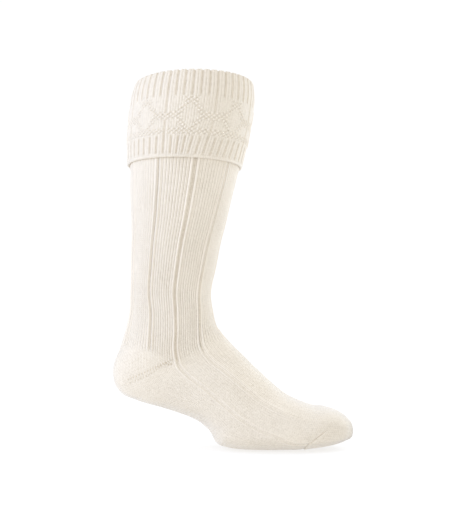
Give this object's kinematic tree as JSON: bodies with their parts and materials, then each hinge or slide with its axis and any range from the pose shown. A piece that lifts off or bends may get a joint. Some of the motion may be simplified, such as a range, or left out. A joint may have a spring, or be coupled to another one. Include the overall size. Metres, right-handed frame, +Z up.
{
  "type": "kilt hose sock",
  "caption": "Knee-length knitted wool sock with a turned-down patterned cuff, sunk vertical panels on the leg and a plain heel, sole and toe, shaped as worn.",
  "frame": {"origin": "The centre of the leg opening, level with the top of the cuff's fold, where the leg goes in.", "axes": "+Z is up, out of the opening; +X runs forward towards the toes; +Y is across the leg. The sock is the same on both sides of the XZ plane."},
  "size_m": [0.2705, 0.134, 0.4193],
  "materials": {
    "wool": "matt knitted wool"
  },
  "bodies": {
    "root": {"cuff_fold": "wool", "cuff_lattice": "wool", "cuff_lower_rib": "wool", "cuff_welt": "wool", "leg": "wool", "heel": "wool", "foot": "wool", "toe": "wool"}
  },
  "joints": []
}
